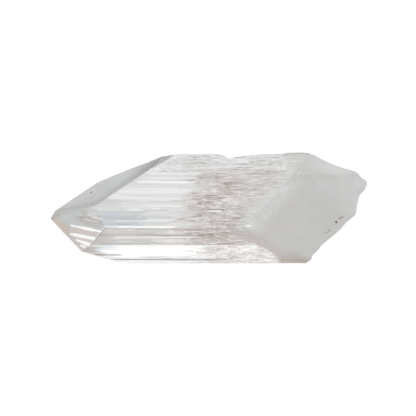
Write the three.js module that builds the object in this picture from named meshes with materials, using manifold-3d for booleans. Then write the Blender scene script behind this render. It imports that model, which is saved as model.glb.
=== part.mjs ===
// A danburite crystal lying on its broad lower face.
//
// It is one solid: a flattened prism with nine striated faces, a chisel point made by three
// faces that meet at the tip, and a rough oblique break at the other end. Millimetres, +Z up.
// X runs along the crystal with the point towards -X, and the lower face lies in Z = 0.
import * as THREE from "three";
import { mergeVertices } from "three/addons/utils/BufferGeometryUtils.js";
import Module from "manifold-3d";

const wasm = await Module();
wasm.setup();

// Driving dimensions.
const THICKNESS = 10.4; // between the broad upper and lower faces
const STRIATION_DEPTH = 0.2; // the deepest step between two bands of a prism face
const STEP_RUN = 0.07; // how far such a step takes to go down
const BAND_UNEVENNESS = 0.7; // how much the widths of the bands vary, from 0 to 1

// The prism faces in order round the section, turning from straight up towards the front.
// lean is a face's outward normal in degrees from straight up, and reach its distance from
// the middle of the section. bands is how many striation bands it has.
const PRISM_FACES = [
  { name: "top", lean: 0, reach: THICKNESS / 2, bands: 11 },
  { name: "front_upper", lean: 57.2, reach: 9.09, bands: 5 },
  { name: "front_lower", lean: 76, reach: 9.77, bands: 4 },
  { name: "front_edge", lean: 92, reach: 10.62, bands: 2 },
  { name: "front_under", lean: 161.2, reach: 7.11, bands: 3 },
  { name: "bottom", lean: 180, reach: THICKNESS / 2, bands: 1 },
  { name: "back_under", lean: 237.2, reach: 10, bands: 1 },
  { name: "back", lean: 261, reach: 9.87, bands: 7 },
  { name: "back_upper", lean: 341.2, reach: 6.8, bands: 5 },
];

// The three faces of the point all pass through the tip. lean is the angle between a face's
// outward normal and the crystal's length, and turn is the normal's turn about that length,
// from straight up towards the front.
const TIP = new THREE.Vector3(-31.6, -0.93, 2.49);
const POINT_FACES = [
  { name: "back_point", lean: 62.2, turn: -42 },
  { name: "front_point", lean: 50.1, turn: 17.2 },
  { name: "under_point", lean: 67.6, turn: 145.9 },
];

// The break: a long oblique face, a bevel that eases it into the upper face, a flatter face at
// its upper back corner, and a short steep face that blunts its thin far end. Each goes through
// a point [x, y, z], and relief is how far its rough surface rises and falls.
const BREAK_FACES = [
  { name: "rim_bevel", lean: 69.3, turn: 17.6, through: [5.9, -7.46, THICKNESS], relief: 0.25 },
  { name: "main_break", lean: 58.5, turn: 29.4, through: [6.7, -7.46, THICKNESS], relief: 0.4 },
  { name: "upper_break", lean: 61.8, turn: 3.1, through: [19.9, 10.56, 8.78], relief: 0.3 },
  { name: "blunt_end", lean: 35.1, turn: 27.3, through: [31.3, 8.14, 0], relief: 0.35 },
];
const BREAK_REACH = 34; // how far the rough faces are made around those points
const BREAK_CELL = 1.15; // the size of their smallest facets
// The lumps of the rough faces: their size along and across the face, and their share of the
// relief.
const LUMPS = [
  { along: 7.5, across: 6, share: 0.55 },
  { along: 3.1, across: 2.7, share: 0.3 },
  { along: 1.3, across: 1.2, share: 0.22 },
];

// Long shallow pits, as ranges in each size: striations that run part of the way along the
// prism, and the etched fibres across its middle. from and to bound their middles along X.
const PITTED_FACES = ["top", "top", "top", "back_upper", "front_upper", "front_lower", "back"];
const PIT_SHARES = [0.06, 0.94]; // where across a face the pits lie
const PIT_SLANT = 0.02; // how far a pit may turn from the crystal's length, in radians
const STRIAE = {
  count: 44,
  from: -20,
  to: 12,
  length: [7, 22],
  width: [0.2, 0.42],
  depth: [0.07, 0.14],
  seed: 43,
};
const FIBRES = {
  count: 90,
  from: -5,
  to: 14,
  length: [2, 7],
  width: [0.25, 0.6],
  depth: [0.12, 0.3],
  seed: 19,
};

// Bites out of the upper back edge, out of the rim of the break and out of the back face of
// the point, each [x, y, z, size].
const CHIPS = [
  [4.7, 11.04, 9.14, 1.5],
  [7.7, 11.4, 9.45, 1.6],
  [10.6, 11.45, 9.5, 1.6],
  [13.7, 11.5, 9.55, 1.6],
  [-7.8, 6.4, 11, 0.95],
  [31.8, 4.4, -0.4, 2.2],
  [28.1, -2.3, -0.5, 2.1],
  [25.1, -5.5, -0.5, 2.1],
  [32.2, 9.6, 1.4, 2],
  [-23.5, 5.2, 2.8, 0.42],
];
const CHIP_STRETCH = 1.25; // a bite is this much longer along X
const CHIP_UNEVENNESS = 0.16; // how far its corners move in and out, as a share of its size
const CUT_SIZE = 190; // the side of the blocks that cut the flat faces of the point

const CRYSTAL_COLOUR = 0xd9d5d2;
const CRYSTAL_ROUGHNESS = 0.3;

// A repeatable source of numbers from 0 to 1.
function numbers(seed) {
  let state = seed;
  return () => {
    state = (Math.imul(state, 1664525) + 1013904223) >>> 0;
    return state / 4294967296;
  };
}

const between = (next, [low, high]) => low + (high - low) * next();

// A fixed number from -1 to 1 for each point of a whole-numbered grid.
function gridNumber(i, j, seed) {
  let h = Math.imul(i + 1013, 374761393) ^ Math.imul(j + 2027, 668265263);
  h = Math.imul(h ^ Math.imul(seed, 974711), 1274126177);
  return (((h ^ (h >>> 15)) >>> 0) / 4294967296) * 2 - 1;
}

// Smooth noise from -1 to 1: the grid's numbers, blended between its four nearest points.
function noise(x, y, seed) {
  const i = Math.floor(x);
  const j = Math.floor(y);
  const blend = (t) => t * t * (3 - 2 * t);
  const u = blend(x - i);
  const v = blend(y - j);
  const low = THREE.MathUtils.lerp(gridNumber(i, j, seed), gridNumber(i + 1, j, seed), u);
  const high = THREE.MathUtils.lerp(
    gridNumber(i, j + 1, seed),
    gridNumber(i + 1, j + 1, seed),
    u,
  );
  return THREE.MathUtils.lerp(low, high, v);
}

// A unit direction: lean is its angle from `along`, 1 or -1 times X, and turn its turn
// about X from straight up towards the front.
function direction(lean, turn, along) {
  const l = THREE.MathUtils.degToRad(lean);
  const t = THREE.MathUtils.degToRad(turn);
  return new THREE.Vector3(
    along * Math.cos(l),
    -Math.sin(l) * Math.sin(t),
    Math.sin(l) * Math.cos(t),
  );
}

// A closed geometry as a manifold-3d solid.
function solid(geometry) {
  const bare = geometry.clone();
  bare.deleteAttribute("normal");
  bare.deleteAttribute("uv");
  const merged = mergeVertices(bare);
  return new wasm.Manifold(
    new wasm.Mesh({
      numProp: 3,
      vertProperties: new Float32Array(merged.attributes.position.array),
      triVerts: new Uint32Array(merged.index.array),
    }),
  );
}

// A solid back as a three.js geometry.
function geometryOf(made) {
  const mesh = made.getMesh();
  const geometry = new THREE.BufferGeometry();
  geometry.setAttribute(
    "position",
    new THREE.BufferAttribute(new Float32Array(mesh.vertProperties), 3),
  );
  geometry.setIndex(new THREE.BufferAttribute(new Uint32Array(mesh.triVerts), 1));
  geometry.computeVertexNormals();
  return geometry;
}

// Where two neighbouring prism faces meet in the section, as (y, z) from its middle.
function corner(a, b) {
  const [p, q] = [a, b].map((face) => direction(90, face.lean, 1));
  const area = p.y * q.z - p.z * q.y;
  return new THREE.Vector2(
    (a.reach * q.z - b.reach * p.z) / area,
    (b.reach * p.y - a.reach * q.y) / area,
  );
}

// The two ends of a prism face in the section.
function faceEnds(face) {
  const k = PRISM_FACES.indexOf(face);
  const before = PRISM_FACES[(k + PRISM_FACES.length - 1) % PRISM_FACES.length];
  const after = PRISM_FACES[(k + 1) % PRISM_FACES.length];
  return [corner(before, face), corner(face, after)];
}

// The section's outline. Between its two ends each face runs as level bands at slightly
// different depths, joined by short steps: the striations of the prism. The first and the
// last band of a face are at its full height, so the corners stay sharp.
function sectionOutline() {
  const next = numbers(7);
  const outline = [];
  for (const face of PRISM_FACES) {
    const [start, end] = faceEnds(face);
    const normal = direction(90, face.lean, 1);
    const inwards = new THREE.Vector2(-normal.y, -normal.z);
    const at = (share, depth) => start.clone().lerp(end, share).addScaledVector(inwards, depth);
    const run = STEP_RUN / start.distanceTo(end);

    outline.push(start);
    let depth = 0;
    for (let band = 1; band < face.bands; band++) {
      const share = (band + BAND_UNEVENNESS * (next() - 0.5)) / face.bands;
      const nextDepth = band === face.bands - 1 ? 0 : STRIATION_DEPTH * next();
      outline.push(at(share - run, depth), at(share + run, nextDepth));
      depth = nextDepth;
    }
  }
  return outline;
}

// The striated prism, longer than the crystal at both ends.
function prism() {
  const uncutLength = 4 * Math.abs(TIP.x);
  const geometry = new THREE.ExtrudeGeometry(new THREE.Shape(sectionOutline()), {
    depth: uncutLength,
    bevelEnabled: false,
  });
  const lengthways = new THREE.Matrix4().makeBasis(
    new THREE.Vector3(0, 1, 0),
    new THREE.Vector3(0, 0, 1),
    new THREE.Vector3(1, 0, 0),
  );
  geometry.applyMatrix4(lengthways);
  geometry.translate(-uncutLength / 2, 0, THICKNESS / 2);
  return solid(geometry);
}

// Turns a geometry's +Z to the direction `out` and moves its origin to [x, y, z].
function place(geometry, out, [x, y, z]) {
  const up = new THREE.Vector3(0, 0, 1);
  geometry.applyQuaternion(new THREE.Quaternion().setFromUnitVectors(up, out));
  geometry.translate(x, y, z);
  return geometry;
}

// Everything on the outer side of one flat face of the point.
function beyondPointFace(face) {
  const geometry = new THREE.BoxGeometry(CUT_SIZE, CUT_SIZE, CUT_SIZE);
  geometry.translate(0, 0, CUT_SIZE / 2);
  return solid(place(geometry, direction(face.lean, face.turn, -1), TIP.toArray()));
}

// Everything beyond one rough face of the break. The block's near side is a grid of small
// facets that noise lifts along the face's normal, in lumps of three sizes.
function beyondBreakFace(face, k) {
  const cells = Math.round((2 * BREAK_REACH) / BREAK_CELL);
  const side = 2 * BREAK_REACH;
  const geometry = new THREE.BoxGeometry(side, side, side, cells, cells, 1);
  geometry.translate(0, 0, side / 2);
  const position = geometry.attributes.position;
  for (let i = 0; i < position.count; i++) {
    if (position.getZ(i) > side / 2) continue;
    let lift = 0;
    LUMPS.forEach((lump, n) => {
      const x = position.getX(i) / lump.along;
      const y = position.getY(i) / lump.across;
      lift += lump.share * noise(x, y, 8 * k + n + 3);
    });
    position.setZ(i, face.relief * lift);
  }
  return solid(place(geometry, direction(face.lean, face.turn, 1), face.through));
}

// A long pit: a stretched octahedron whose middle lies on a prism face.
function longPit(face, sizes, next) {
  const [start, end] = faceEnds(face);
  const middle = start.lerp(end, between(next, PIT_SHARES));
  const geometry = new THREE.OctahedronGeometry(1);
  geometry.scale(
    between(next, sizes.length) / 2,
    between(next, sizes.width) / 2,
    between(next, sizes.depth),
  );
  geometry.rotateZ(between(next, [-PIT_SLANT, PIT_SLANT]));
  geometry.rotateX(THREE.MathUtils.degToRad(face.lean));
  geometry.translate(
    between(next, [sizes.from, sizes.to]),
    middle.x,
    middle.y + THICKNESS / 2,
  );
  return solid(geometry);
}

// A family of long pits. The wide upper face has the most of them.
function longPits(sizes) {
  const next = numbers(sizes.seed);
  return Array.from({ length: sizes.count }, () => {
    const name = PITTED_FACES[Math.floor(next() * PITTED_FACES.length)];
    const face = PRISM_FACES.find((candidate) => candidate.name === name);
    return longPit(face, sizes, next);
  });
}

// A bite: an uneven lump with flat facets. k sets its unevenness and how it is turned.
function chip([x, y, z, size], k) {
  const geometry = new THREE.IcosahedronGeometry(size, 1);
  const position = geometry.attributes.position;
  const p = new THREE.Vector3();
  for (let i = 0; i < position.count; i++) {
    p.fromBufferAttribute(position, i);
    p.multiplyScalar(1 + CHIP_UNEVENNESS * noise(2.3 * p.x, 2.3 * p.y + 1.7 * p.z, 31 + k));
    position.setXYZ(i, p.x * CHIP_STRETCH, p.y, p.z);
  }
  geometry.rotateX(k);
  geometry.translate(x, y, z);
  return solid(geometry);
}

// The whole crystal as one solid.
function crystalSolid() {
  const cutters = [
    ...POINT_FACES.map(beyondPointFace),
    ...BREAK_FACES.map(beyondBreakFace),
    ...longPits(STRIAE),
    ...longPits(FIBRES),
    ...CHIPS.map(chip),
  ];
  return wasm.Manifold.difference([prism(), ...cutters]);
}

const crystal = new THREE.Mesh(
  geometryOf(crystalSolid()),
  new THREE.MeshStandardMaterial({
    color: CRYSTAL_COLOUR,
    roughness: CRYSTAL_ROUGHNESS,
    metalness: 0,
  }),
);
crystal.name = "danburite_crystal";

// The origin is under the middle of the crystal, on the surface that it rests on.
const box = new THREE.Box3().setFromBufferAttribute(crystal.geometry.attributes.position);
const middle = box.getCenter(new THREE.Vector3());
crystal.geometry.translate(-middle.x, -middle.y, -box.min.z);

const specimen = new THREE.Group();
specimen.add(crystal);

export default specimen;
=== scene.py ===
"""A danburite crystal lying on a pale floor: its clear striated body, its fibres and its studio."""

from __future__ import annotations

import logging
import math
from dataclasses import dataclass
from enum import Enum

import bpy
import numpy as np
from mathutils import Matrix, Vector

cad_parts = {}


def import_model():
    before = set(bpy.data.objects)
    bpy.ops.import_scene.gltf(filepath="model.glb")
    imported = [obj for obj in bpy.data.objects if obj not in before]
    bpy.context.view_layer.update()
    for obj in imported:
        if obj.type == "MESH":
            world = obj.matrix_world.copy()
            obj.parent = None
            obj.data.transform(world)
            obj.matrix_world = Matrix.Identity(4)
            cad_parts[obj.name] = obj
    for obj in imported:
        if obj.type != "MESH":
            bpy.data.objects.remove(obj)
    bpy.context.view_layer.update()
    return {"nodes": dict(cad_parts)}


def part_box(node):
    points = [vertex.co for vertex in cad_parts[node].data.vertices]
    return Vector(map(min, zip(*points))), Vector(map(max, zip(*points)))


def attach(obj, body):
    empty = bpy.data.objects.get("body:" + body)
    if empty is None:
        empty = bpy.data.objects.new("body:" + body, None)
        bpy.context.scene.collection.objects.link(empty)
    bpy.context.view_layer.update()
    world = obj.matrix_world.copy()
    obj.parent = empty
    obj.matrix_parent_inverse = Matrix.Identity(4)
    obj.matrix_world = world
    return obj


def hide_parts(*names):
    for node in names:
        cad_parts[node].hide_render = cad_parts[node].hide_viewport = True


LOG = logging.getLogger("danburite")
MM = 0.001
NODE = "danburite_crystal"
BODY = "root"
HASH_FACTORS = (374761393, 668265263, 974711)
HASH_ROUNDS = ((13, 1274126177), (16, 2246822519))
HASH_LAST_SHIFT = 15
WORD = 2**32 - 1
CHANGE_OF_FACE = 40.0
SHARP_DEGREES = 14

Array = np.ndarray
Place = tuple[float, float, float]
Span = tuple[float, float]


# --- Noise and small helpers ---


def lattice(i: Array, j: Array, seed: int) -> Array:
    """Fixed numbers for the points of a grid.

    Args:
        i, j: the points' whole numbers along the two axes.
        seed: picks one of many such grids.

    Returns:
        A number from -1 to 1 for each, from a multiply-and-shift hash.
    """
    by_i, by_j, by_seed = HASH_FACTORS
    mixed = (i.astype(np.int64) * by_i + j.astype(np.int64) * by_j + seed * by_seed) & WORD
    for shift, factor in HASH_ROUNDS:
        mixed = ((mixed ^ (mixed >> shift)) * factor) & WORD
    return (mixed ^ (mixed >> HASH_LAST_SHIFT)) / 2**31 - 1.0


def noise(x: Array, y: Array | float, seed: int) -> Array:
    """Smooth noise from -1 to 1.

    The numbers of the four nearest grid points are blended. Along each axis the further one
    has the weight share * share * (3 - 2 * share), share being the way to it from the other.

    Args:
        x, y: the coordinates, in grid steps.
        seed: picks the grid.

    Returns:
        The noise at each point.
    """
    x, y = np.broadcast_arrays(x, y)
    i, j = np.floor(x), np.floor(y)
    u, v = x - i, y - j
    u, v = u * u * (3 - 2 * u), v * v * (3 - 2 * v)
    low = lattice(i, j, seed) * (1 - u) + lattice(i + 1, j, seed) * u
    high = lattice(i, j + 1, seed) * (1 - u) + lattice(i + 1, j + 1, seed) * u
    return low * (1 - v) + high * v


def layered(x: Array, y: Array, seed: int, *layers: Place) -> Array:
    """Noises of several sizes, added up.

    Args:
        x, y: the coordinates, in millimetres.
        seed: picks the first layer's grid. The next layers take the next ones.
        layers: each layer's strength and its grid steps along the two axes.

    Returns:
        The sum at each point.
    """
    return sum(
        strength * noise(x / step_x, y / step_y, seed + n)
        for n, (strength, step_x, step_y) in enumerate(layers)
    )


def ramp(low: float, high: float, x: Array) -> Array:
    """0 up to low, 1 from high, and share * share * (3 - 2 * share) at a share of the way."""
    share = np.clip((x - low) / (high - low), 0, 1)
    return share * share * (3 - 2 * share)


def bell(x: Array, width: float) -> Array:
    """e to minus (x / width) squared: 1 at zero, fading out on both sides."""
    return np.exp(-((x / width) ** 2))


def terraces(x: Array, levels: float, sharpness: float) -> Array:
    """Turns a smooth height into flat terraces with short slopes between them.

    Each one holds its level and climbs to the next in its last share, 1 / sharpness.

    Args:
        x: the smooth height.
        levels: the number of terraces for each unit of height.
        sharpness: how short the slopes are, above 1.

    Returns:
        The terraced height.
    """
    scaled = x * levels
    base = np.floor(scaled)
    climb = np.clip((scaled - base - 1 + 1 / sharpness) * sharpness, 0, 1)
    return (base + climb) / levels


# --- The crystal's form, in millimetres ---


class Zone(Enum):
    """The prism faces in order round the section, from straight up towards the front."""

    TOP = 0
    FRONT_UPPER = 1
    FRONT_LOWER = 2
    FRONT_EDGE = 3
    FRONT_UNDER = 4
    BOTTOM = 5
    BACK_UNDER = 6
    BACK = 7
    BACK_UPPER = 8


@dataclass(frozen=True)
class PrismFace:
    """One long face of the prism.

    lean is its outward normal in degrees from straight up towards the front, reach its
    distance from the section's middle, relief the depth of its striations, step the spacing
    of the mesh's lines, haze how milky its clear half is, and fibres how dense its fibres.
    """

    zone: Zone
    lean: float
    reach: float
    relief: float = 0.09
    step: float = 0.1
    haze: float = 1.0
    fibres: float = 1.0

    @property
    def normal(self) -> Array:
        """The outward normal in the section, as (y, z)."""
        lean = math.radians(self.lean)
        return np.array([-math.sin(lean), math.cos(lean)])


@dataclass(frozen=True)
class EndFace:
    """A face that ends the prism: a flat one of the point, or a rough one of the break.

    lean is its outward normal's angle from the length and turn the normal's turn about the
    length, from straight up towards the front, in degrees. along is 1 at the +X end, else -1.
    """

    lean: float
    turn: float
    through: Place
    along: int
    relief: float = 0.0
    seed: int = 0

    @property
    def normal(self) -> Array:
        """The outward normal.

        Returns:
            (cos lean along the length, -sin lean * sin turn, sin lean * cos turn).
        """
        lean, turn = math.radians(self.lean), math.radians(self.turn)
        aside = math.sin(lean)
        return np.array([self.along * math.cos(lean), -aside * math.sin(turn), aside * math.cos(turn)])

    def x_at(self, y: Array, z: Array) -> Array:
        """Where a line along X through (y, z) meets the face's plane."""
        normal, through = self.normal, self.through
        return through[0] - (normal[1] * (y - through[1]) + normal[2] * (z - through[2])) / normal[0]

    def height(self, points: Array) -> Array:
        """How far points lie outside the face's plane."""
        return (points - np.array(self.through)) @ self.normal


@dataclass(frozen=True)
class Groove:
    """A straight groove or ledge along a prism face.

    across is its place over the face as a share, and start and stop its ends along X.
    """

    zone: Zone
    across: float
    start: float
    stop: float
    width: float
    depth: float


@dataclass(frozen=True)
class Bite:
    """A chip out of an edge: a scoop of a given radius and depth, longer along X."""

    at: Place
    radius: float
    depth: float
    stretch: float = 1.25


@dataclass(frozen=True)
class Bulge:
    """A swelling or a hollow of the broken end, which carries it along X by its reach."""

    y: float
    z: float
    radius: float
    reach: float

    def reach_at(self, y: Array, z: Array) -> Array:
        """How far it carries each line: its reach times e to minus (distance / radius) squared."""
        return self.reach * np.exp(-((y - self.y) ** 2 + (z - self.z) ** 2) / self.radius**2)


@dataclass(frozen=True)
class Brow:
    """The worn upper back edge: its depth at places along X and its spread over both faces."""

    cuts: tuple[Span, ...] = (
        (-19.0, 0.1), (-15.7, 0.28), (-11.7, 0.5), (-8.7, 0.55), (-7.2, 0.2), (-5.7, 0.1),
        (0.7, 0.0), (2.3, 0.1), (3.1, 0.35), (3.9, 0.85), (4.4, 0.95), (5.5, 0.7),
        (7.1, 0.5), (8.7, 0.3), (10.3, 0.15), (14.6, 0.08), (16.0, -0.2), (21.0, -0.25),
    )
    upper_spread: float = 2.0
    back_spread: float = 1.3

    def depth(self, x: Array, apart: Array, spread: float) -> Array:
        """The cut at places along X, fading with the distance from the edge."""
        return np.interp(x, *zip(*self.cuts, strict=True)) * bell(apart, spread)


@dataclass
class CrystalForm:
    """The crystal's outer surface.

    The side wall is the section carried along X, with the striations pushed in along each
    face's normal, from the point's three planes to the break's rough ones. Two caps close it.
    A face's relief is shared out by terrace_share, furrow_share and hair_share, and less of
    it is left towards the point, over the span smoothed. pits_under is how much of the pits
    the resting face has. lumps are the strengths and the sizes of the broken surface's lumps.
    """

    thickness: float = 10.4
    tip: Place = (-31.6, -0.93, 2.49)
    stations: int = 104
    point_rings: int = 38
    break_rings: int = 34
    last_ring: float = 0.996
    passes: int = 4
    edge_wear: float = 0.045
    edge_spread: float = 0.1
    edge_width: float = 0.12
    rest_depth: float = 0.08
    terrace_share: float = 0.42
    furrow_share: float = 0.16
    hair_share: float = 0.07
    smoothed: Span = (-14.0, -24.0)
    smoothing: float = 0.55
    pit_depth: float = 0.2
    pits_under: float = 0.15
    lumps: tuple[Place, ...] = ((0.55, 4.6, 4.1), (0.28, 2.1, 1.9), (0.13, 0.9, 0.8), (0.05, 0.42, 0.4))
    lump_growth: float = 1.3
    break_growth: float = 0.5
    break_blend: float = 0.35
    rim_wear: float = 0.2
    rim_spread: float = 0.6
    groove_fade: float = 2.5
    probes: int = 2000
    brow: Brow = Brow()
    grooves: tuple[Groove, ...] = (
        Groove(Zone.TOP, 0.19, -14.0, -2.5, 0.35, 0.09),
        Groove(Zone.TOP, 0.62, -16.5, -11.5, 0.3, 0.07),
        Groove(Zone.TOP, 0.8, -20.0, -5.0, 0.5, 0.05),
        Groove(Zone.FRONT_UPPER, 0.14, -22.0, 6.0, 0.25, 0.06),
        Groove(Zone.FRONT_UPPER, 0.46, -22.0, 8.0, 0.35, 0.09),
        Groove(Zone.FRONT_UPPER, 0.62, -20.0, 9.0, 0.2, 0.06),
    )
    bites: tuple[Bite, ...] = (
        Bite((-12.0, 10.4, 6.4), 2.6, 0.35, 1.6),
        Bite((-7.8, 6.0, 10.4), 0.9, 0.22),
        Bite((-9.4, 6.9, 10.1), 0.8, 0.2),
        Bite((-7.9, 8.0, 9.7), 0.7, 0.2),
    )
    bulges: tuple[Bulge, ...] = (
        Bulge(7.7, 0.2, 1.3, 0.35),
        Bulge(5.6, 0.0, 0.9, -0.15),
        Bulge(1.2, 0.0, 1.5, 0.6),
        Bulge(-2.4, 0.0, 1.3, 0.5),
        Bulge(-6.0, 0.0, 1.2, -0.35),
        Bulge(-10.0, 1.2, 1.8, 2.1),
        Bulge(9.9, 5.3, 2.0, -1.0),
    )

    def __post_init__(self) -> None:
        """Works out the faces, the section and its corners."""
        half = self.thickness / 2
        self.faces = [
            PrismFace(Zone.TOP, 0, half, relief=0.1, haze=0.5),
            PrismFace(Zone.FRONT_UPPER, 57.2, 9.09, relief=0.1, haze=0.5),
            PrismFace(Zone.FRONT_LOWER, 76, 9.77, relief=0.03, haze=0.1, fibres=0.7),
            PrismFace(Zone.FRONT_EDGE, 92, 10.62, relief=0.03, haze=0.2),
            PrismFace(Zone.FRONT_UNDER, 161.2, 7.11, relief=0.07),
            PrismFace(Zone.BOTTOM, 180, half, relief=0.05, step=0.16),
            PrismFace(Zone.BACK_UNDER, 237.2, 10.3, relief=0.05),
            PrismFace(Zone.BACK, 261, 9.87, relief=0.1, step=0.12),
            PrismFace(Zone.BACK_UPPER, 341.2, 6.8, relief=0.13, haze=0.8, fibres=0.5),
        ]
        turned = ((62.2, -42), (50.1, 17.2), (67.6, 145.9))
        self.point = [EndFace(lean, turn, self.tip, -1) for lean, turn in turned]
        self.veil_line = EndFace(84.9, -60, (-30.3, 1.92, 1.07), -1)
        self.breaks = [
            EndFace(69.3, 17.6, (5.9, -7.46, self.thickness), 1, relief=0.25, seed=3),
            EndFace(58.5, 29.4, (6.7, -7.46, self.thickness), 1, relief=0.4, seed=11),
            EndFace(61.8, 3.1, (19.9, 10.56, 8.78), 1, relief=0.3, seed=19),
            EndFace(35.1, 27.3, (31.3, 8.14, 0), 1, relief=0.35, seed=27),
        ]
        self.middle = np.array([0.0, half])
        self._make_section()

    def _corner(self, a: PrismFace, b: PrismFace) -> Array:
        """Where two neighbouring faces meet in the section, as (y, z)."""
        return self.middle + np.linalg.solve([a.normal, b.normal], [a.reach, b.reach])

    def _make_section(self) -> None:
        """Samples the section's outline.

        Each face is a straight line between its corners, and a corner has the mean of its two
        faces' normals. For every line of the mesh, over is its distance over its face, wide
        the face's width and zone the face, each as a column.
        """
        rows = []
        for k, face in enumerate(self.faces):
            before, after = self.faces[k - 1], self.faces[(k + 1) % len(self.faces)]
            start, stop = self._corner(before, face), self._corner(face, after)
            width = float(np.linalg.norm(stop - start))
            share = self._shares(start, stop, max(3, round(width / face.step)))[:, None]
            normal = np.tile(face.normal, (len(share), 1))
            mean = face.normal + before.normal
            normal[0] = mean / np.linalg.norm(mean)
            same = np.ones_like(share)
            points = start + share * (stop - start)
            rows.append(np.hstack([points, normal, share * width, same * width, same * face.zone.value]))
        table = np.concatenate(rows)
        self.outline, self.outline_normal = table[:, :2], table[:, 2:4]
        self.over, self.wide, self.zone = table[:, 4:5], table[:, 5:6], table[:, 6:].astype(int)

    def _shares(self, start: Array, stop: Array, parts: int) -> Array:
        """The places of the mesh's lines over a face, as shares.

        They are even, except that one is moved onto each place where an edge of the point
        leaves the prism face, so that the edge stays sharp.

        Args:
            start, stop: the face's corners in the section, as (y, z).
            parts: the number of lines.

        Returns:
            The shares, from 0 at the first corner to just under 1.
        """
        share = np.arange(parts) / parts
        line = start + np.linspace(0, 1, self.probes + 1)[:, None] * (stop - start)
        owner = np.argmax([f.x_at(line[:, 0], line[:, 1]) for f in self.point], axis=0)
        for i in np.flatnonzero(np.diff(owner)):
            place = (i + 0.5) / self.probes
            nearest = int(np.argmin(np.abs(share - place)))
            if nearest > 0:
                share[nearest] = place
        return share

    def on(self, *zones: Zone) -> Array:
        """Which of the mesh's lines lie on the given faces, as a column."""
        return np.isin(self.zone, [zone.value for zone in zones])

    def inside(self, zone: Zone, points: Array) -> Array:
        """How far points lie inside a prism face's plane."""
        face = self.faces[zone.value]
        return face.reach - (points[:, 1:] - self.middle) @ face.normal

    def start_x(self, y: Array, z: Array) -> Array:
        """Where lines along X enter the crystal: the furthest of the point's planes."""
        return np.max([f.x_at(y, z) for f in self.point], axis=0)

    def stop_x(self, y: Array, z: Array) -> Array:
        """Where lines along X leave the crystal.

        It is the nearest of the break's planes, each moved along X by lumps of four sizes,
        and rounded into each other.

        Args:
            y, z: the lines' places in the section.

        Returns:
            The X of the broken surface on each line.
        """
        planes = []
        for face in self.breaks:
            rough = self.lump_growth * face.relief * layered(y, z, face.seed, *self.lumps)
            planes.append(face.x_at(y, z) + rough + self.break_growth)
        least = planes[0]
        for plane in planes[1:]:
            share = np.clip(0.5 + 0.5 * (least - plane) / self.break_blend, 0, 1)
            least = least * (1 - share) + plane * share - self.break_blend * share * (1 - share)
        return least + sum(bulge.reach_at(y, z) for bulge in self.bulges)

    def _striations(self, x: Array) -> Array:
        """How deep the wall lies under its plane, for every line and station.

        Long terraces, fine furrows, the grooves, a worn edge at each corner and the short
        pits of the fibrous middle are added up.

        Args:
            x: the places along X, one row for each line.

        Returns:
            The depth in millimetres.
        """
        over, zone = self.over, self.zone
        place = over + CHANGE_OF_FACE * zone
        relief = np.array([f.relief for f in self.faces])[zone]
        ledges = terraces(layered(place, x, 101, (1, 1.5, 34), (0.4, 0.7, 21)), 3.2, 5.0)
        fine = noise(place / 0.33, x / 11, 103)
        finest = noise(place / 0.21, x / 4, 104)
        furrows = self.furrow_share * (fine + 1)
        depth = relief * (self.terrace_share * (ledges + 1.4) + furrows + self.hair_share * (finest + 1))
        depth = depth * (1 - self.smoothing * ramp(*self.smoothed, x))

        resting = self.on(Zone.BOTTOM)
        pits = layered(place, x, 105, (1, 0.3, 1.7), (0.5, 0.2, 0.9))
        pitted = self.pit_depth * self.fibrous(x) * np.where(resting, self.pits_under, 1.0)
        depth = depth + pitted * np.clip(pits - 0.15, 0, 1.2)

        for groove in self.grooves:
            off = (over - groove.across * self.wide) / (groove.width / 2)
            ends = ramp(groove.start, groove.start + self.groove_fade, x)
            ends = ends * ramp(groove.stop, groove.stop - self.groove_fade, x)
            depth = depth + self.on(groove.zone) * groove.depth * ends * np.clip(1 - np.abs(off), 0, 1)

        edge = np.minimum(over, self.wide - over)
        wear = self.edge_wear * (1 + 0.5 * noise(zone, x / 2.3, 107))
        depth = depth * ramp(0, self.edge_width, edge) + wear * bell(edge, self.edge_spread)
        return np.where(resting, np.minimum(depth, self.rest_depth), depth)

    @staticmethod
    def fibrous(x: Array) -> Array:
        """The share of fibres along X: none in the clear half, most just past its middle."""
        return ramp(-6.5, -1.0, x) * (0.55 + 0.45 * ramp(16, 3, x))

    def _worn(self, x: Array) -> Array:
        """How far the worn upper back edge moves the wall, as (y, z) for each point.

        Both faces move against the mean of their normals, so that they stay joined.

        Args:
            x: the places along X, one row for each line.

        Returns:
            The move of each point.
        """
        mean = self.faces[Zone.BACK_UPPER.value].normal + self.faces[Zone.BACK.value].normal
        brow = self.brow
        cut = self.on(Zone.BACK_UPPER) * brow.depth(x, self.over, brow.upper_spread)
        cut = cut + self.on(Zone.BACK) * brow.depth(x, self.wide - self.over, brow.back_spread)
        return -cut[..., None] * mean / np.linalg.norm(mean)

    def _bitten(self, points: Array, depth: Array) -> Array:
        """Adds the chips to the wall's depth.

        Inside a chip's scoop it is at least the chip's own depth times one minus the square
        of the distance from its middle, with facets cut by rough noise.

        Args:
            points: the wall's points before anything is worn off.
            depth: the depth so far.

        Returns:
            The depth with the chips.
        """
        for k, bite in enumerate(self.bites):
            off = (points - np.array(bite.at)) / (bite.radius * np.array([bite.stretch, 1, 1]))
            far = np.sum(off * off, axis=-1)
            facets = 1 + 0.45 * noise(points[..., 0] / 0.7, points[..., 1] / 0.6 + 9 * k, 120 + k)
            depth = np.maximum(depth, bite.depth * np.clip(1 - far, 0, 1) * facets)
        return depth

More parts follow.
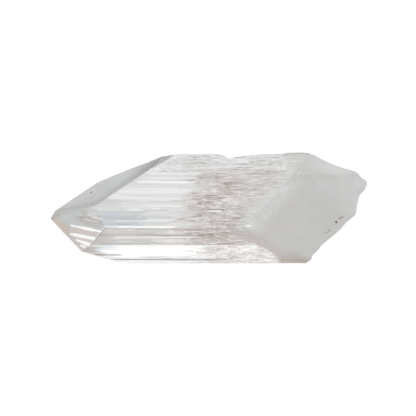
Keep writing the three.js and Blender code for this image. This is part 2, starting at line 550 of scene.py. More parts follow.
    def wall(self) -> Array:
        """The side wall's points.

        They are worked out a few times over, because their depth shifts the ends.

        Returns:
            An array of lines round the section, by stations along X, by (x, y, z).
        """
        share = np.linspace(0, 1, self.stations)
        flat_y, flat_z = self.outline[:, :1], self.outline[:, 1:]
        y, z = flat_y, flat_z
        for _ in range(self.passes):
            start, stop = self.start_x(y[:, 0], z[:, 0]), self.stop_x(y[:, -1], z[:, -1])
            x = start[:, None] + share * (stop - start)[:, None]
            rim = self.rim_wear * bell(stop[:, None] - x, self.rim_spread)
            depth = self._striations(x) + self.on(Zone.TOP, Zone.BACK_UPPER) * rim
            flat = np.stack(np.broadcast_arrays(x, flat_y, flat_z), axis=-1)
            depth = self._bitten(flat, depth)
            worn = self._worn(x)
            y = flat_y - depth * self.outline_normal[:, :1] + worn[..., 0]
            z = flat_z - depth * self.outline_normal[:, 1:] + worn[..., 1]
        x[:, 0] = self.start_x(y[:, 0], z[:, 0])
        x[:, -1] = self.stop_x(y[:, -1], z[:, -1])
        return np.stack([x, y, z], axis=-1)

    def _ring_shares(self, rings: int) -> Array:
        """How far out the rings of a cap lie, without its middle and its rim."""
        return (self.last_ring * np.arange(1, rings) / (rings - 1))[:, None, None]

    def point_cap(self, rim: Array) -> Array:
        """Rings of points, tip + share * (rim - tip), from the tip to the wall's start."""
        tip = np.array(self.tip)
        return tip + self._ring_shares(self.point_rings) * (rim - tip)

    def break_cap(self, rim: Array) -> Array:
        """Rings of points from the middle of the break to the wall's end.

        In the section each ring is the rim drawn in towards the middle, and its X is the
        rough surface's over that place.

        Args:
            rim: the wall's last points.

        Returns:
            An array of rings by lines by (x, y, z).
        """
        flat = self.middle + self._ring_shares(self.break_rings) * (rim[:, 1:] - self.middle)
        return np.concatenate([self.stop_x(flat[..., 0], flat[..., 1])[..., None], flat], axis=-1)

    @staticmethod
    def _quads(rows: Array) -> Array:
        """The faces between neighbouring rows of points, where each row closes on itself."""
        after = np.roll(rows, -1, axis=1)
        return np.stack([rows[:-1], after[:-1], after[1:], rows[1:]], axis=-1)

    def surface(self) -> tuple[Array, Array, Array]:
        """The whole closed surface.

        Returns:
            The points, the four-sided faces and the three-sided faces. The wall's points
            come first, then the point's, the break's, the tip and the middle of the break.
        """
        wall = self.wall()
        lines, stations = wall.shape[:2]
        near, far = self.point_cap(wall[:, 0]), self.break_cap(wall[:, -1])
        heart = np.array([[0.0, *self.middle]])
        heart[:, 0] = self.stop_x(heart[:, 1], heart[:, 2])
        blocks = [block.reshape(-1, 3) for block in (wall, near, far)]
        points = np.concatenate([*blocks, [self.tip], heart])
        ids = np.arange(len(points))
        own = ids[: lines * stations].reshape(lines, stations).T
        rings = ids[lines * stations : -2].reshape(-1, lines)
        near_ids = np.concatenate([rings[: len(near)], own[:1]])
        far_ids = np.concatenate([rings[len(near) :], own[-1:]])
        four = [self._quads(own).swapaxes(0, 1), self._quads(near_ids), self._quads(far_ids)[..., ::-1]]
        inner, outer = near_ids[0], far_ids[0]
        three = [
            np.column_stack([np.full(lines, ids[-2]), np.roll(inner, -1), inner]),
            np.column_stack([np.full(lines, ids[-1]), outer, np.roll(outer, -1)]),
        ]
        return points, np.concatenate([part.reshape(-1, 4) for part in four]), np.concatenate(three)


# --- The crystal's skin, in millimetres ---


class Tone(Enum):
    """The colours laid in the crystal's skin, linear: its own tints, and the painted highlights, reflections
    and shade laid with them.
    """

    WHITE = (0.98, 0.98, 0.975)
    ICE = (0.95, 0.965, 0.985)
    PALE = (0.80, 0.80, 0.795)
    COOL = (0.47, 0.52, 0.565)
    GREY = (0.50, 0.525, 0.515)
    ROSE = (0.60, 0.535, 0.51)
    TAN = (0.565, 0.485, 0.43)
    MAUVE = (0.47, 0.425, 0.41)
    BROWN = (0.40, 0.325, 0.295)
    DARK = (0.20, 0.175, 0.16)
    SATIN = (0.302, 0.316, 0.31)
    # Painted shade: the darkening of the satin face of the point, and its dark line.
    PAINTED_SHADE = (0.13, 0.132, 0.118)
    VEIL = (0.64, 0.65, 0.635)
    CHALK = (0.52, 0.513, 0.498)
    FROST = (0.575, 0.575, 0.56)
    STRAW = (0.56, 0.54, 0.475)
    BLUSH = (0.535, 0.49, 0.475)
    OLIVE = (0.42, 0.375, 0.30)
    AMBER = (0.28, 0.18, 0.05)
    PIT = (0.035, 0.03, 0.02)
    RUST = (0.22, 0.145, 0.12)


@dataclass(frozen=True)
class Streak:
    """A line laid along a prism face.

    over is its distance over the face, start and stop its ends along X, drift how far it has
    moved over the face by its end, and fade half the length of its soft ends. White, ice and
    pale streaks are painted highlights, cool ones painted reflections, and the others tinted or
    darker lines.
    """

    zone: Zone
    over: float
    width: float
    start: float
    stop: float
    tone: Tone
    share: float
    drift: float = 0.0
    fade: float = 0.6


@dataclass(frozen=True)
class Glint:
    """A line on a face of the point, from one place to another: a painted highlight where it is white or
    pale, a tinted stroke where it is rose, tan, brown or dark.
    """

    start: Place
    stop: Place
    width: float
    tone: Tone
    share: float = 1.0


@dataclass(frozen=True)
class Speck:
    """A small dark pit, bright fleck or painted glint in the skin."""

    at: Place
    radius: float
    share: float
    tone: Tone = Tone.PIT


@dataclass(frozen=True)
class Marks:
    """Where the skin's markings lie.

    A span is where a marking begins and where it is whole. frost_x, back_z and ridge_z bound
    the prism's frost, and seam_x is a light line in it. pit and pit_highlight_ring are the middle and
    the half lengths of the painted highlight ring round the point's pit, and shadow_z the
    height of a painted shadow line by it. flow and rise are the directions along the front
    point face's streaks and square to them, and tan_edge is where its tan tip ends along the
    first, at places along the second.
    rosy_edge is where the wall's rosy band begins over the break's main plane, at heights.
    """

    clear_band: Span = (0.9, 1.9)
    frost_x: float = 15.2
    back_z: float = 7.5
    ridge_z: float = 9.7
    seam_x: float = 15.4
    seam_over: float = 3.0
    olive_x: Span = (13.2, 15.2)
    olive_z: Span = (5.0, 3.0)
    brown_x: Span = (12.5, 15.5)
    mauve_x: Span = (6.0, 12.0)
    notch_start: Span = (-1.0, 2.0)
    notch_stop: Span = (8.5, 6.0)
    pit: Span = (-23.55, 5.05)
    pit_highlight_ring: Span = (0.6, 1.15)
    shadow_z: float = 8.7
    flow: Place = (0.735, -0.455, 0.503)
    rise: Place = (0.219, 0.861, 0.458)
    tan_edge: tuple[Span, ...] = ((-2.5, 6.9), (-0.8, 5.8), (-0.3, 4.5), (0, 3.4), (0.5, 2.3), (1.5, 1.6))
    rosy_edge: tuple[Span, ...] = ((3, -0.1), (6, 0.4), (7.2, 0.1), (8.4, -1.2), (9.4, -1.6), (10.4, -1.7))


# Each face's streaks, as over, width, start, stop, tone, share and, where they differ, drift and fade.
# The white, ice and pale streaks are painted highlights along the striations, the cool ones painted
# reflections; the rest are tinted or darker lines.
STREAK_ROWS = (
    (Zone.TOP, (
        (0.15, 0.35, -9.6, 0, Tone.GREY, 0.4),
        (0.9, 0.6, -10.8, -1, Tone.ICE, 0.6),
        (1.9, 0.7, -12.5, -1.5, Tone.ICE, 0.3),
        (2.82, 0.6, -14.6, -2, Tone.ICE, 0.85),
        (4.4, 0.4, -16.5, -3, Tone.ICE, 0.5),
        (5, 0.9, -17.6, -3.2, Tone.ICE, 0.5),
        (5.7, 0.4, -18.5, -4.5, Tone.PALE, 0.3),
        (6.65, 0.45, -19.5, -5, Tone.WHITE, 0.45),
        (7.35, 0.5, -20.5, -4, Tone.GREY, 0.2),
        (8.2, 3.4, -22, -17, Tone.GREY, 0.3),
        (8.3, 0.6, -12.6, -4, Tone.WHITE, 0.35),
        (9.2, 0.34, -15.7, -13.6, Tone.WHITE, 0.95),
        (9, 0.3, -11.3, -10, Tone.WHITE, 0.8),
        (9.35, 0.28, -11.6, -7.2, Tone.GREY, 0.7),
        (9.9, 0.8, -21.6, -12, Tone.COOL, 0.6),
        (11, 1.5, -21.6, -13, Tone.COOL, 0.8),
        (10.8, 0.8, -14, -7.5, Tone.COOL, 0.5),
        (11.6, 0.5, -21.4, -17.4, Tone.COOL, 0.65),
        (11.75, 0.3, -17, -13.8, Tone.WHITE, 0.25),
        (11.6, 0.35, -12, -5.5, Tone.WHITE, 0.3),
        (12.4, 0.9, -21.2, -13.5, Tone.COOL, 0.75),
        (12.2, 0.6, -13.5, -9, Tone.COOL, 0.3),
        (13.1, 0.5, -18, -6.8, Tone.WHITE, 1),
        (12.3, 0.22, -8.8, -4.8, Tone.BROWN, 0.4, -0.95),
        (11.3, 0.22, -5.2, 1.4, Tone.DARK, 0.6, -1.5),
        (9.05, 0.26, -4.6, 3.4, Tone.DARK, 0.6, 0.1),
        (7.6, 0.6, -3.6, 0.2, Tone.RUST, 0.35),
        (6, 0.3, -2, 1.4, Tone.RUST, 0.3, -0.3),
        (3.1, 0.3, 1.6, 8, Tone.RUST, 0.35, 0.2),
    )),
    (Zone.FRONT_UPPER, (
        (2, 4, -24, -19.6, Tone.MAUVE, 0.5, 0, 1.6),
        (2, 4, -9.5, -1.5, Tone.MAUVE, 0.16, 0, 2),
    )),
    (Zone.TOP, (
        (7.2, 1.4, 1.6, 6.2, Tone.WHITE, 0.35, 0, 1.2),
    )),
    (Zone.FRONT_UPPER, (
        (0.04, 0.18, -17.3, -6.6, Tone.WHITE, 0.95),
        (0.3, 0.3, -21, 2, Tone.BROWN, 0.6),
        (0.95, 0.5, -20, -1, Tone.GREY, 0.25),
        (1.32, 0.2, -20.5, -3, Tone.MAUVE, 0.5),
        (1.68, 0.55, -21.5, 1, Tone.BROWN, 0.58),
        (2.22, 0.24, -19, -2, Tone.WHITE, 0.7),
        (2.9, 0.9, -21, -3, Tone.GREY, 0.3),
        (3.55, 0.25, -22, 0, Tone.MAUVE, 0.5),
        (3.75, 0.2, -21, 7, Tone.BROWN, 0.5),
        (1.9, 1.6, -1.6, 4.4, Tone.MAUVE, 0.22, 0, 1.2),
        (0.68, 0.5, 1.3, 3, Tone.RUST, 0.7),
        (1.3, 0.35, 1.9, 4, Tone.RUST, 0.45),
        (2.5, 0.35, 1.2, 2.4, Tone.RUST, 0.35),
        (0.82, 0.34, 3.6, 4.5, Tone.WHITE, 0.95, 0, 0.3),
    )),
    (Zone.FRONT_LOWER, (
        (0.12, 0.3, -20, -1, Tone.WHITE, 0.7),
        (0.8, 1.7, -23.4, -17.4, Tone.COOL, 0.5, 0, 2.6),
        (1.1, 2.6, -26, -22.1, Tone.MAUVE, 0.8),
        (1.75, 1, -25, -21, Tone.GREY, 0.55, 0, 1.2),
        (2.7, 1.2, -24.5, -20.4, Tone.MAUVE, 0.6),
        (3.45, 0.7, -22.6, -17.6, Tone.GREY, 0.4, 0, 1.6),
        (2.75, 0.5, -23.6, -17.9, Tone.DARK, 0.7),
        (3.95, 0.3, -20.4, 3.3, Tone.DARK, 0.75),
        (1.3, 1.4, -1.4, 1.6, Tone.BROWN, 0.32),
    )),
    (Zone.FRONT_EDGE, (
        (0.3, 0.5, -20.6, 3.3, Tone.DARK, 0.9),
        (0.75, 0.7, -19.6, 6, Tone.COOL, 0.5),
        (1.5, 1.1, -18, 10, Tone.GREY, 0.28),
        (1.75, 0.3, -16, 14, Tone.ROSE, 0.6),
    )),
    (Zone.TOP, (
        (0.42, 0.22, -9.4, -3.2, Tone.DARK, 0.35, 0.25),
        (0.5, 0.5, 10.8, 13.6, Tone.ROSE, 0.85),
        (0.3, 0.8, -12.4, -10, Tone.PALE, 0.85, 0, 0.3),
    )),
    (Zone.BACK_UPPER, (
        (4.7, 0.7, -12, -9.4, Tone.PALE, 0.8, 0, 0.3),
    )),
    (Zone.TOP, (
        (12.5, 0.5, -19.2, -15.6, Tone.DARK, 0.14),
    )),
    (Zone.FRONT_UPPER, (
        (0.62, 0.55, -21.2, -16.8, Tone.BROWN, 0.15),
    )),
    (Zone.FRONT_LOWER, (
        (1.5, 2.6, -26, -22.6, Tone.DARK, 0.22),
        (2.75, 0.4, -22.6, -18.6, Tone.DARK, 0.5),
    )),
)
# Painted highlights where white or pale; tinted strokes where rose, tan, brown or dark.
GLINTS = (
    Glint((-27, -4.75, 5.15), (-21.5, -8.4, 9), 0.95, Tone.ROSE, 0.9),
    Glint((-26.9, -6.45, 4.75), (-22.9, -9.2, 7.5), 0.95, Tone.ROSE, 0.85),
    Glint((-27.3, -4.05, 5.29), (-21.1, -7.88, 9.53), 0.62, Tone.WHITE),
    Glint((-27.3, -5.71, 4.77), (-22.4, -8.65, 8.06), 0.72, Tone.WHITE),
    Glint((-26.1, -7.4, 5.3), (-23.2, -9.5, 7.1), 0.8, Tone.WHITE),
    Glint((-25.2, -8.9, 5.8), (-24.4, -9.4, 6.2), 0.8, Tone.WHITE, 0.8),
    Glint((-24.6, -3.2, 8.1), (-21.9, -4.6, 9.8), 0.3, Tone.PALE, 0.8),
    Glint((-25.6, -3.6, 7.1), (-21.6, -5.6, 9.8), 0.35, Tone.BROWN, 0.55),
    Glint((-24.8, -4.1, 7.6), (-21.4, -5.9, 9.8), 0.25, Tone.PALE, 0.7),
    Glint((-25.4, -4.5, 6.9), (-21.3, -6.8, 9.7), 0.4, Tone.BROWN, 0.45),
    Glint((-31.2, -1.4, 2.9), (-24.9, -9.9, 5), 0.5, Tone.TAN, 0.7),
    Glint((-26.4, -2.9, 6.4), (-24.4, -3.75, 7.9), 0.45, Tone.BROWN, 0.5),
    Glint((-25.5, -3.25, 7.15), (-24.8, -3.6, 7.65), 0.5, Tone.DARK, 0.45),
    Glint((-24.3, -4.45, 7.8), (-22.7, -5.4, 8.9), 0.3, Tone.DARK, 0.35),
    Glint((-23.9, -3.35, 8.5), (-21.6, -4.4, 10.2), 0.28, Tone.PALE, 0.5),
)
CRACK = ((8.6, 9.3), (8.25, 9.44), (7.9, 9.56), (7.3, 9.74), (6.95, 9.87), (6.6, 10.0), (6.3, 10.08))
BREAK_SPECKS = (
    (0.32, 1.08, 0.26, 0.9, Tone.AMBER),
    (-0.05, 1.18, 0.25, 0.9, Tone.AMBER),
    (0.1, 1.1, 0.16, 0.9),
    (-0.93, 1.13, 0.34, 0.95),
    (-0.45, 0.85, 0.22, 0.25),
    (-2.8, 1.0, 0.24, 0.7),
    (-3.27, 1.0, 0.2, 0.7),
    (-3.5, 1.3, 0.3, 0.2),
    (-2.4, 1.5, 0.25, 0.2),
    (-1.4, 1.2, 0.22, 0.25),
    (-1.9, 1.9, 0.25, 0.15),
    (8.25, 6.18, 0.3, 0.3),
    (4.44, 7.19, 0.4, 0.2),
)


class Paint:
    """A colour and a share at each point, laid on in coats."""

    def __init__(self, shape: tuple[int, ...]) -> None:
        """Starts with nothing laid on."""
        self.colour = np.zeros((*shape, 4))
        self.colour[..., :3] = Tone.PALE.value

    def lay(self, tone: Tone, share: Array) -> None:
        """Lays a tone over what is there.

        The covered share becomes share + old * (1 - share), and the colour is the mean of
        both, weighted by what each covers.

        Args:
            tone: the tone.
            share: how much of each point it covers, from 0 to 1.
        """
        share = np.clip(share, 0, 1)[..., None]
        old = self.colour[..., 3:] * (1 - share)
        both = np.maximum(share + old, 1e-6)
        self.colour[..., :3] = (np.array(tone.value) * share + self.colour[..., :3] * old) / both
        self.colour[..., 3:] = share + old

    def coats(self, within: Array | float, *coats: tuple[Tone, Array | float]) -> None:
        """Lays tones one over the other, each covering its share of within."""
        for tone, share in coats:
            self.lay(tone, within * share)


class CrystalSkin:
    """What the crystal's skin scatters: striations, fibres, satin and frost, with painted highlights,
    reflections and shade.

    Every coat is worked out at the form's own points, from their places on its faces.
    """

    def __init__(self, form: CrystalForm) -> None:
        """Lists the streaks and the specks: the pit, a painted glint on the break, a white fleck, the crack
        and the break's.

        Args:
            form: the crystal's surface, on which the break's specks are placed.
        """
        self.form = form
        self.marks = Marks()
        self.streaks = [Streak(zone, *row) for zone, rows in STREAK_ROWS for row in rows]
        self.specks = [Speck((-23.49, 4.95 - 0.3 * k, 2.96 + 0.27 * k), 0.38, 0.8) for k in range(2)]
        self.specks.append(Speck((-23.3, 3.3, 4.6), 0.25, 0.3))
        # Painted glint: a short row of white specks on the break near its upper front edge.
        for k in range(4):
            self.specks.append(Speck((7.3 + 0.5 * k, -6.95 + 0.08 * k, 9.95), 0.38, 0.8, Tone.WHITE))
        self.specks.append(Speck((-6.6, 9.4, 8.98), 0.3, 0.7, Tone.WHITE))
        for y, z in CRACK:
            self.specks.append(Speck((-6.45 + 0.25 * math.sin(5 * y), y, z), 0.2, 0.4, Tone.DARK))
        for y, z, *look in BREAK_SPECKS:
            x = float(form.stop_x(np.array([y]), np.array([z]))[0])
            self.specks.append(Speck((x, y, z), *look))

    def colours(self, points: Array) -> tuple[Array, dict[str, Array]]:
        """The skin at every point of the form's surface.

        Args:
            points: the surface's points, in the form's own order.

        Returns:
            A colour and a share for each, and by name how frosted, fibrous and crushed it is.
        """
        lines, stations = len(self.form.outline), self.form.stations
        near = lines * stations
        far = len(points) - 2 - (self.form.break_rings - 1) * lines
        side, fibres, crushed = self.wall(points[:near].reshape(lines, stations, 3))
        colours = [
            side.reshape(-1, 4),
            self.point(points[near:far]),
            self.broken(points[far:-2]),
            self.point(points[-2:-1]),
            self.broken(points[-1:]),
        ]
        frosted = [self.frost(points[:far], False), self.frost(points[far:-2], True), [0.0, 1.0]]
        rest = np.zeros(len(points) - near)
        return np.concatenate(colours), {
            "frost": np.concatenate(frosted),
            "fibres": np.concatenate([fibres.ravel(), rest]),
            "crush": np.concatenate([crushed.ravel(), rest]),
        }

    def frost(self, points: Array, on_break: bool) -> Array:
        """How frosted the surface is, from 0 to 1.

        On the break it fades out in a clear band along the lower front face. On the prism it
        starts just short of the soft bevel and, on the upper back face, at a line across it.

        Args:
            points: places on the surface.
            on_break: whether they are on the break or on the prism.

        Returns:
            The frost at each point.
        """
        x, y, z = points.T
        form, marks = self.form, self.marks
        wander = 0.3 * noise(y / 1.9, z / 1.7 + x / 2.3, 301)
        wander = wander + 0.2 * noise(y / 0.7, z / 0.6 + x / 0.9, 302)
        front = ramp(*marks.clear_band, form.inside(Zone.FRONT_LOWER, points) + 0.6 * wander)
        if on_break:
            return front
        bevel = form.breaks[0].height(points) + 0.2
        upper = np.where(z > marks.back_z, (x - marks.frost_x) * 0.45, -9.0)
        front = np.where(z > marks.ridge_z, 1, front)
        return ramp(-0.45, 0.35, np.maximum(bevel, upper) + 0.5 * wander) * front

    def broken(self, points: Array) -> Array:
        """The skin of the break: a rosy band along the lower front edge, chalky elsewhere.

        The chalk has large faint patches. It has painted highlights on the soft bevel, near the upper
        back edge and on the steep face at the far end, and painted shade on that face's back.

        Args:
            points: places on the break.

        Returns:
            A colour and a share for each point.
        """
        x, y, z = points.T
        paint = Paint(x.shape)
        paint.lay(Tone.BLUSH, np.full(x.shape, 0.95))
        paint.lay(Tone.OLIVE, 0.8 * ramp(4.0, 1.5, z))
        frosted = self.frost(points, True)
        blotch = noise(x / 2.6 + 5, y / 2.2 + z / 2.0, 311)
        blotch = blotch + 0.5 * noise(x / 1.1, y / 0.9 + z / 0.8, 312)
        paint.coats(frosted, (Tone.CHALK, 1), (Tone.FROST, np.clip(0.25 + 0.2 * blotch, 0, 1)))
        for k, (tone, share) in enumerate(((Tone.STRAW, 0.3), (Tone.BLUSH, 0.2), (Tone.COOL, 0.12))):
            patch = noise(y / 3.1 + 3.0 * k, z / 2.6 + x / 6, 313 + k)
            paint.lay(tone, frosted * share * ramp(0.0, 0.6, patch))
        bevel, main, brow, steep = [face.height(points) for face in self.form.breaks]
        # Painted highlights: the soft bevel, the brow plane, the back half below the ridge and the steep
        # face are made lighter; painted shade greys the steep face's back.
        soft = ramp(-0.9, 0.1, bevel - np.max([main, brow, steep], axis=0))
        soft = soft * (1 - 0.75 * ramp(1.0, 4.0, y) * ramp(8.5, 9.6, z))
        brow_highlight = ramp(-0.9, 0.5, brow - np.max([bevel, main, steep], axis=0))
        paint.coats(
            frosted,
            (Tone.PALE, (0.34 + 0.22 * noise(y / 1.3, z / 1.1, 317)) * soft),
            (Tone.PALE, 0.2 * brow_highlight * ramp(6.2, 8.2, y)),
            (Tone.PALE, 0.13 * ramp(2.0, 5.0, y) * ramp(9.5, 7.5, z)),
            (Tone.PALE, 0.14 * ramp(-1.6, 0.2, steep)),
            (Tone.GREY, 0.35 * ramp(-1.2, 0.2, steep) * ramp(1.5, 3.5, y)),
        )
        return paint.colour

    def point(self, points: Array) -> Array:
        """The skin of the point, where each place takes the skin of the face it lies on.

        Args:
            points: places on the point.

        Returns:
            A colour and a share for each point.
        """
        heights = [np.abs(face.height(points)) for face in self.form.point]
        shades = np.stack([self._back_point(points), self._front_point(points), self._under_point(points)])
        return shades[np.argmin(heights, axis=0), np.arange(len(points))]

    def _back_point(self, points: Array) -> Array:
        """The skin of the point's back face.

        It is satin, with a painted highlight ring round its pit and a painted shadow line near its
        upper edge. Its share is 1 only at the brown tip and below the veil's line, where it is grey.

        Args:
            points: places on the point.

        Returns:
            A colour and a share for each point.
        """
        x, y, z = points.T
        marks = self.marks
        paint = Paint(x.shape)
        ring = np.hypot((x - marks.pit[0]) / marks.pit_highlight_ring[0], (y - marks.pit[1]) / marks.pit_highlight_ring[1])
        from_tip = np.linalg.norm(points - np.array(self.form.tip), axis=1)
        over_line = self.form.veil_line.height(points)
        low = ramp(0.15, -0.2, over_line)
        seam = bell(over_line + 0.05, 0.3) * ramp(4.6, 2.6, from_tip)
        tip = np.maximum(ramp(2.7, 1.7, from_tip), seam)
        paint.coats(
            np.ones_like(x),
            (Tone.SATIN, 1),
            (Tone.GREY, 0.1 + 0.14 * noise(x / 3.0, z / 1.6 - x / 3.0, 321)),
            # Painted highlight: a light ring round the pit.
            (Tone.PALE, 0.2 * bell(ring - 1, 0.3)),
            # Painted shadow: a dark line near the upper edge.
            (Tone.PAINTED_SHADE, 0.28 * bell(z - marks.shadow_z, 0.5) * ramp(-21, -15, x)),
            (Tone.GREY, 0.2 * low),
            (Tone.BROWN, 0.6 * tip),
            (Tone.DARK, 0.2 * tip),
        )
        paint.colour[..., 3] = np.maximum(low, tip)
        return paint.colour

    def _front_point(self, points: Array) -> Array:
        """The skin of the point's front face.

        It has a tan tip, a grey veil that is rosy low down, a band of short brown streaks with
        painted glints between them, the glints (white and pale ones painted highlights, the
        others tinted strokes) and a painted highlight along its rim. along and side are distances
        from the tip, along its streaks and square to them.

        Args:
            points: places on the point.

        Returns:
            A colour and a share for each point.
        """
        marks = self.marks
        off = points - np.array(self.form.tip)
        from_tip = np.linalg.norm(off, axis=1)
        along, side = off @ np.array(marks.flow), off @ np.array(marks.rise)
        paint = Paint(along.shape)
        ripple = noise(along / 3.0, side / 0.3, 331)
        paint.lay(Tone.GREY, 0.92 + 0.08 * ripple)
        veil = ramp(-0.3, -0.8, side) * ramp(5.9, 6.3, along)
        paint.lay(Tone.ROSE, veil * (0.75 + 0.25 * ripple))
        band = ramp(7.0, 8.8, along) * ramp(0.2, 0.9, side) * ramp(3.5, 2.7, side)
        dash = noise(along / 2.0, side / 0.2, 333)
        paint.coats(
            band,
            (Tone.MAUVE, 0.35),
            (Tone.BROWN, 0.5 * ramp(0.05, 0.4, dash)),
            # Painted glints: pale dashes between the brown ones.
            (Tone.PALE, 0.45 * ramp(0.2, 0.6, -dash)),
        )
        paint.lay(Tone.PALE, 0.35 * ramp(3.0, 3.8, side) * ramp(9.0, 11.0, along))
        border = np.interp(side, *zip(*marks.tan_edge, strict=True))
        paint.lay(Tone.TAN, 0.8 * ramp(0.5, -0.5, along - border))
        paint.lay(Tone.BROWN, 0.5 * ramp(1.6, 0.6, from_tip))
        # White and pale glints are painted highlights; the others are tinted strokes.
        for k, glint in enumerate(GLINTS):
            start, stop = np.array(glint.start), np.array(glint.stop)
            length = np.linalg.norm(stop - start)
            share = (points - start) @ (stop - start) / length**2
            nearest = np.clip(share, 0, 1)[:, None] * (stop - start)
            apart = np.linalg.norm(points - start - nearest, axis=1)
            width = glint.width * (0.85 + 0.35 * noise(share * length / 1.4, k, 332))
            paint.lay(glint.tone, glint.share * ramp(1.1, 0.5, apart / (width / 2)))
        # Painted highlight: a white line along the edge with the upper front face.
        rim = self.form.inside(Zone.FRONT_UPPER, points)
        paint.lay(Tone.WHITE, 0.5 * ramp(0.35, 0.15, rim))
        return paint.colour

    def _under_point(self, points: Array) -> Array:
        """The skin of the point's under face: a thin grey veil.

        Args:
            points: places on the point.

        Returns:
            A colour and a share for each point.
        """
        paint = Paint(points.shape[:1])
        paint.lay(Tone.GREY, 0.2 + 0.2 * noise(points[:, 0] / 2.0, points[:, 1] / 0.6, 341))
        return paint.colour

    def wall(self, points: Array) -> tuple[Array, Array, Array]:
        """The skin of the prism's faces.

        The clear half's milky coats come first, then the fibres, a painted highlight on the lower
        front faces and, low on the front, crushed white grains, then the named streaks, and last
        the coats near the ends.

        Args:
            points: the wall's points, by lines and stations.

        Returns:
            A colour and a share for each point, how fibrous it is, and how crushed.
        """
        form, marks = self.form, self.marks
        x, over = points[..., 0], form.over
        place = over + CHANGE_OF_FACE * form.zone
        paint = Paint(x.shape)
        self._lay_haze(paint, x, place)

        behind, rosy = form.on(Zone.BACK_UPPER), form.on(Zone.FRONT_UPPER)
        low = form.on(Zone.FRONT_LOWER, Zone.FRONT_EDGE)
        wander = layered(place, x, 206, (2.6, 0.9, 9), (1.6, 0.3, 5))
        fibrous = form.fibrous(x + wander) * np.array([f.fibres for f in form.faces])[form.zone]
        fibrous = fibrous * np.where(low, ramp(-1.0, 3.0, x + 0.4 * wander), 1)
        bent = place + 0.12 * noise(place / 1.5, x / 4, 208)
        cluster = 0.5 + 0.5 * noise(place / 1.8, x / 5, 209)
        fibre = noise(bent / 0.22, x / 3.4, 210)
        upper = behind * ramp(4.2, 1.6, over + 0.5 * wander)
        ledge = form.on(Zone.TOP) * ramp(1.6, 0.5, over + 0.15 * wander)
        late = ramp(*marks.mauve_x, x)
        paint.coats(
            fibrous,
            (Tone.ROSE, (1 - upper) * (0.5 + 0.25 * cluster) * (1 - 0.5 * ledge)),
            (Tone.GREY, upper * 0.28 * ramp(9, 5, x)),
            (Tone.ROSE, upper * 0.28 * ramp(5, 9, x)),
            (Tone.PALE, 0.35 * ramp(0.0, 0.6, fibre)),
            (Tone.BROWN, 0.2 * cluster * ramp(0.2, 0.6, -fibre)),
            (Tone.MAUVE, 0.18 * late * (1 - behind)),
        )
        # Painted reflection and highlight: a cool, pale patch at the notch of the upper back face.
        notch_glare = ramp(*marks.notch_start, x) * ramp(*marks.notch_stop, x)
        notch_glare = notch_glare * ramp(3.8, 2.4, over)
        paint.coats(
            behind,
            (Tone.PALE, 0.25 * ramp(-3, 1, x) * ramp(10, 6, x)),
            (Tone.COOL, notch_glare * 0.32),
            (Tone.PALE, notch_glare * 0.35),
        )
        paint.lay(Tone.ROSE, rosy * (0.3 + 0.25 * noise(place / 0.5, x / 18, 217)))
        # Painted highlight: the lower front faces whitened where light reflected inside the crystal makes
        # them bright.
        paint.lay(Tone.WHITE, low * 0.45 * (1 - fibrous))
        crush = layered(place, x, 213, (1, 0.7, 1.6), (0.4, 0.3, 0.8))
        crushed = low * ramp(1.5, 3.5, x + 0.5 * wander)
        grains = ramp(-0.6, 0.5, crush - 0.085 * np.clip(x - 6, 0, 10))
        paint.coats(crushed, (Tone.ROSE, 0.4), (Tone.WHITE, 0.74 * grains))
        paint.lay(Tone.BROWN, low * 0.7 * ramp(*marks.brown_x, x))

        self._lay_streaks(paint, x)
        clear = self._lay_ends(paint, points)
        fibres = fibrous * (1 - 0.88 * behind) * (1 - 0.6 * ledge) * (1 - 0.3 * late)
        return paint.colour, fibres * clear * (1 - crushed), crushed * clear

    def _lay_haze(self, paint: Paint, x: Array, place: Array) -> None:
        """Lays the clear half's milky coats, from noise stretched along X.

        Args:
            paint: what they are laid on.
            x: the points' places along X.
            place: each line's distance over its face, set far apart for each face.
        """
        haze = np.array([f.haze for f in self.form.faces])[self.form.zone]
        soft = noise(place / 1.1, x / 26, 201)
        fine = noise(place / 0.4, x / 14, 202)
        hair = noise(place / 0.2, x / 8, 203)
        line = ramp(0.25, 0.6, noise(place / 0.24, x / 10, 204))
        paint.coats(
            haze,
            (Tone.GREY, 0.16 + 0.3 * np.clip(soft + 0.8 * fine, 0, 1)),
            (Tone.GREY, 0.35 * ramp(0.2, 0.6, noise(place / 0.24, x / 12, 205))),
            (Tone.PALE, 0.5 * np.clip(fine + 0.5 * hair - 0.2, 0, 1)),
            (Tone.WHITE, 0.7 * line * np.clip(0.6 + soft, 0, 1)),
        )
        dapple = layered(place, x, 218, (1, 0.8, 1.9), (0.5, 0.4, 1.0))
        paint.coats(
            self.form.on(Zone.BACK_UPPER),
            (Tone.GREY, 0.4),
            (Tone.PALE, 0.4 * ramp(0.0, 0.7, dapple)),
            (Tone.MAUVE, 0.2 * ramp(0.1, 0.8, -dapple)),
        )

    def _lay_streaks(self, paint: Paint, x: Array) -> None:
        """Lays the named streaks, each whole in its middle and fading to its sides and ends.

        Args:
            paint: what they are laid on.
            x: the points' places along X.
        """
        over = self.form.over
        for k, streak in enumerate(self.streaks):
            sway = 0.12 * streak.width * noise(x / 4, k, 215)
            moved = streak.drift * (x - streak.start) / (streak.stop - streak.start)
            off = np.abs(over + sway - streak.over - moved) / (streak.width / 2)
            fray = min(1.2, 2 * streak.fade) * noise(over / 0.2, k, 216)
            ends = ramp(-streak.fade, streak.fade, x - streak.start - fray)
            ends = ends * ramp(-streak.fade, streak.fade, streak.stop + fray - x)
            body = self.form.on(streak.zone) * (1 - ramp(0.45, 1.25, off))
            paint.lay(streak.tone, body * streak.share * ends)

